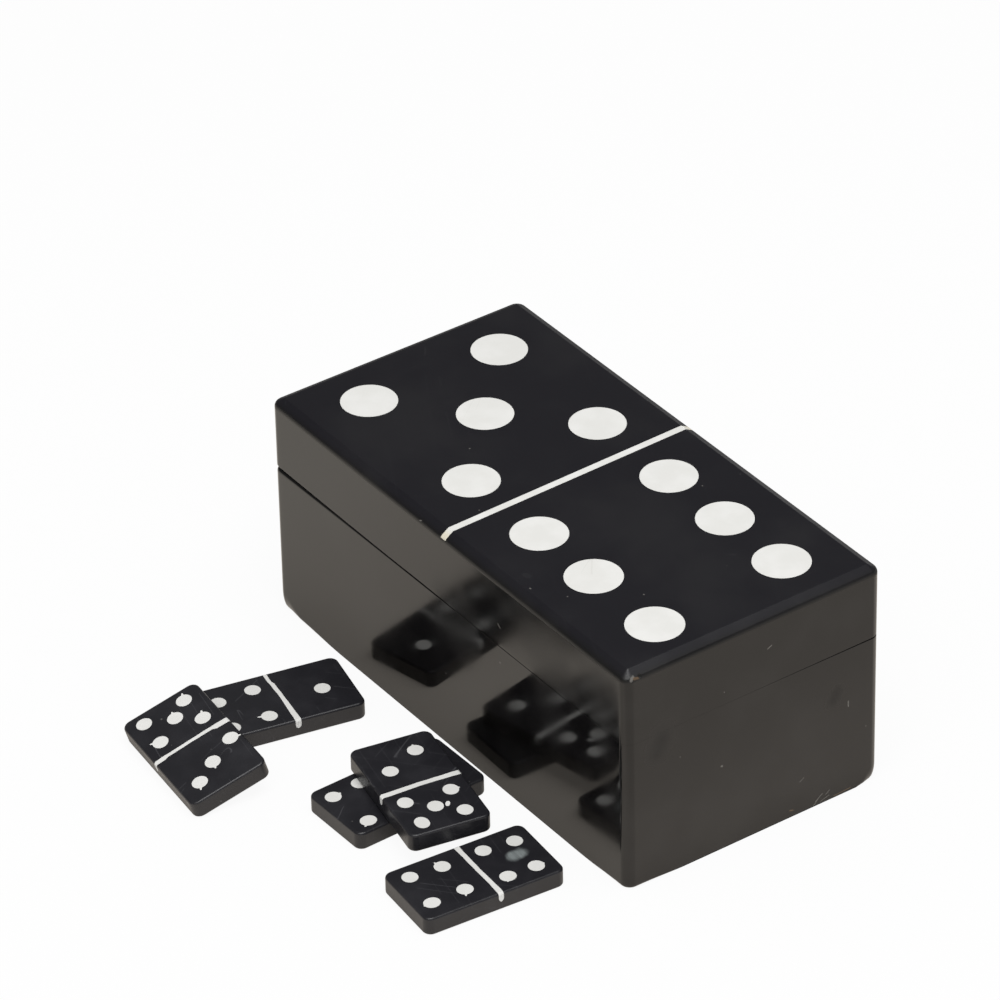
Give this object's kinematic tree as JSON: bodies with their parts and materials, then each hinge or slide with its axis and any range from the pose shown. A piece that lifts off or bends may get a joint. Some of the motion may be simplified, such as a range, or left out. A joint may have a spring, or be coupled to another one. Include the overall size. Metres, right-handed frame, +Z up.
{
  "type": "domino storage box",
  "caption": "Black box shaped like a giant domino, with a lift-off lid inlaid with white pips and a dividing bar, holding a set of dominoes, some of them lying in front of it.",
  "frame": {"origin": "centre of the box's underside, on the surface that it stands on", "axes": "+X along the box towards the half with six pips, +Y towards the long side away from the loose tiles, +Z up"},
  "size_m": [0.16, 0.1545, 0.068],
  "materials": {
    "black_resin": "black resin veneer, polished on the sides and worn to satin on top",
    "white_resin": "off-white cast resin, satin",
    "tile_resin": "black resin, satin, with fine scratches",
    "fibreboard": "bare brown fibreboard",
    "velvet": "black velvet lining",
    "felt": "dark felt"
  },
  "bodies": {
    "box": {"base_back_cladding": "black_resin", "base_back_wall": "fibreboard", "base_felt": "felt", "base_floor": "fibreboard", "base_front_cladding": "black_resin", "base_front_wall": "fibreboard", "base_left_cladding": "black_resin", "base_left_wall": "fibreboard", "base_right_cladding": "black_resin", "base_right_wall": "fibreboard", "base_velvet": "velvet", "stored_inlays_bottom": "white_resin", "stored_inlays_middle": "white_resin", "stored_inlays_top": "white_resin", "stored_tiles_bottom": "tile_resin", "stored_tiles_middle": "tile_resin", "stored_tiles_top": "tile_resin"},
    "lid": {"lid_back_cladding": "black_resin", "lid_back_strip": "fibreboard", "lid_back_wall": "fibreboard", "lid_bar": "white_resin", "lid_front_cladding": "black_resin", "lid_front_strip": "fibreboard", "lid_front_wall": "fibreboard", "lid_left_cladding": "black_resin", "lid_left_strip": "fibreboard", "lid_left_wall": "fibreboard", "lid_panel": "fibreboard", "lid_pip_1": "white_resin", "lid_pip_10": "white_resin", "lid_pip_11": "white_resin", "lid_pip_2": "white_resin", "lid_pip_3": "white_resin", "lid_pip_4": "white_resin", "lid_pip_5": "white_resin", "lid_pip_6": "white_resin", "lid_pip_7": "white_resin", "lid_pip_8": "white_resin", "lid_pip_9": "white_resin", "lid_right_cladding": "black_resin", "lid_right_strip": "fibreboard", "lid_right_wall": "fibreboard", "lid_sheet": "black_resin", "lid_velvet": "velvet"},
    "loose_five_three": {"tile_five_three": "tile_resin", "inlay_five_three": "white_resin"},
    "loose_four_one": {"tile_four_one": "tile_resin", "inlay_four_one": "white_resin"},
    "loose_four_blank": {"tile_four_blank": "tile_resin", "inlay_four_blank": "white_resin"},
    "loose_two_five": {"tile_two_five": "tile_resin", "inlay_two_five": "white_resin"},
    "loose_four_four": {"tile_four_four": "tile_resin", "inlay_four_four": "white_resin"}
  },
  "joints": [
    {"name": "lid_lift", "type": "slide", "parent": "box", "child": "lid", "axis": [0, 0, 1], "range_m": [0, 0.06]},
    {"name": "four_one_lift", "type": "slide", "parent": "box", "child": "loose_four_one", "axis": [0, 0, 1], "range_m": [0, 0.05]},
    {"name": "five_three_lift", "type": "slide", "parent": "loose_four_one", "child": "loose_five_three", "axis": [0, 0, 1], "range_m": [0, 0.05]},
    {"name": "four_blank_lift", "type": "slide", "parent": "box", "child": "loose_four_blank", "axis": [0, 0, 1], "range_m": [0, 0.05]},
    {"name": "two_five_lift", "type": "slide", "parent": "loose_four_blank", "child": "loose_two_five", "axis": [0, 0, 1], "range_m": [0, 0.05]},
    {"name": "four_four_lift", "type": "slide", "parent": "box", "child": "loose_four_four", "axis": [0, 0, 1], "range_m": [0, 0.05]}
  ]
}
